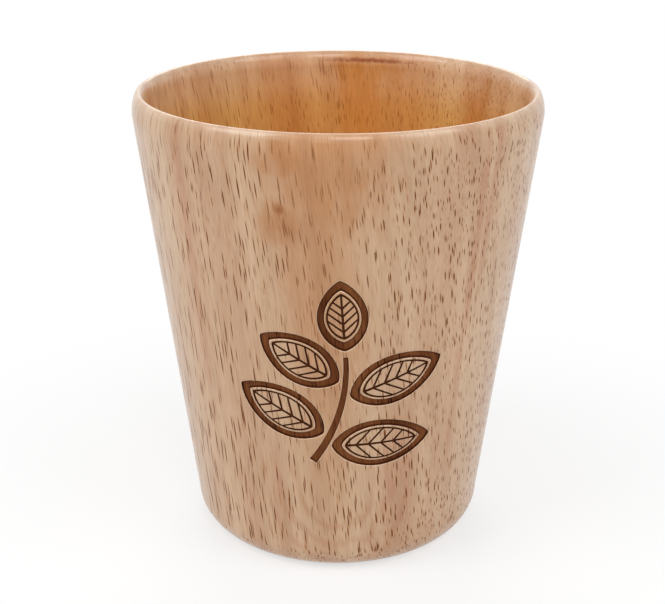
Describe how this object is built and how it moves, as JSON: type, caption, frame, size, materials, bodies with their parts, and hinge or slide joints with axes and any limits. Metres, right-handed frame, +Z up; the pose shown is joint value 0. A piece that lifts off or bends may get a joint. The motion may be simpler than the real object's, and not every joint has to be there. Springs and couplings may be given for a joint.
{
  "type": "wooden cup",
  "caption": "Tapered wooden cup without a handle: a turned wall with a rounded lip and foot, and a dished base disc glued in on a ledge. It holds a drink.",
  "frame": {"origin": "centre of the foot, on the surface that the cup stands on", "axes": "+Z up along the axis of the turning; -Y faces the engraved front; +X is to the right seen from the front"},
  "size_m": [0.083, 0.083, 0.095],
  "materials": {
    "wall_wood": "pale straight-grained hardwood with open brown pores under a clear satin lacquer",
    "base_wood": "the same hardwood with its grain across the disc, under a clear satin lacquer"
  },
  "bodies": {
    "root": {"cup_wall": "wall_wood", "base_disc": "base_wood"}
  },
  "joints": []
}
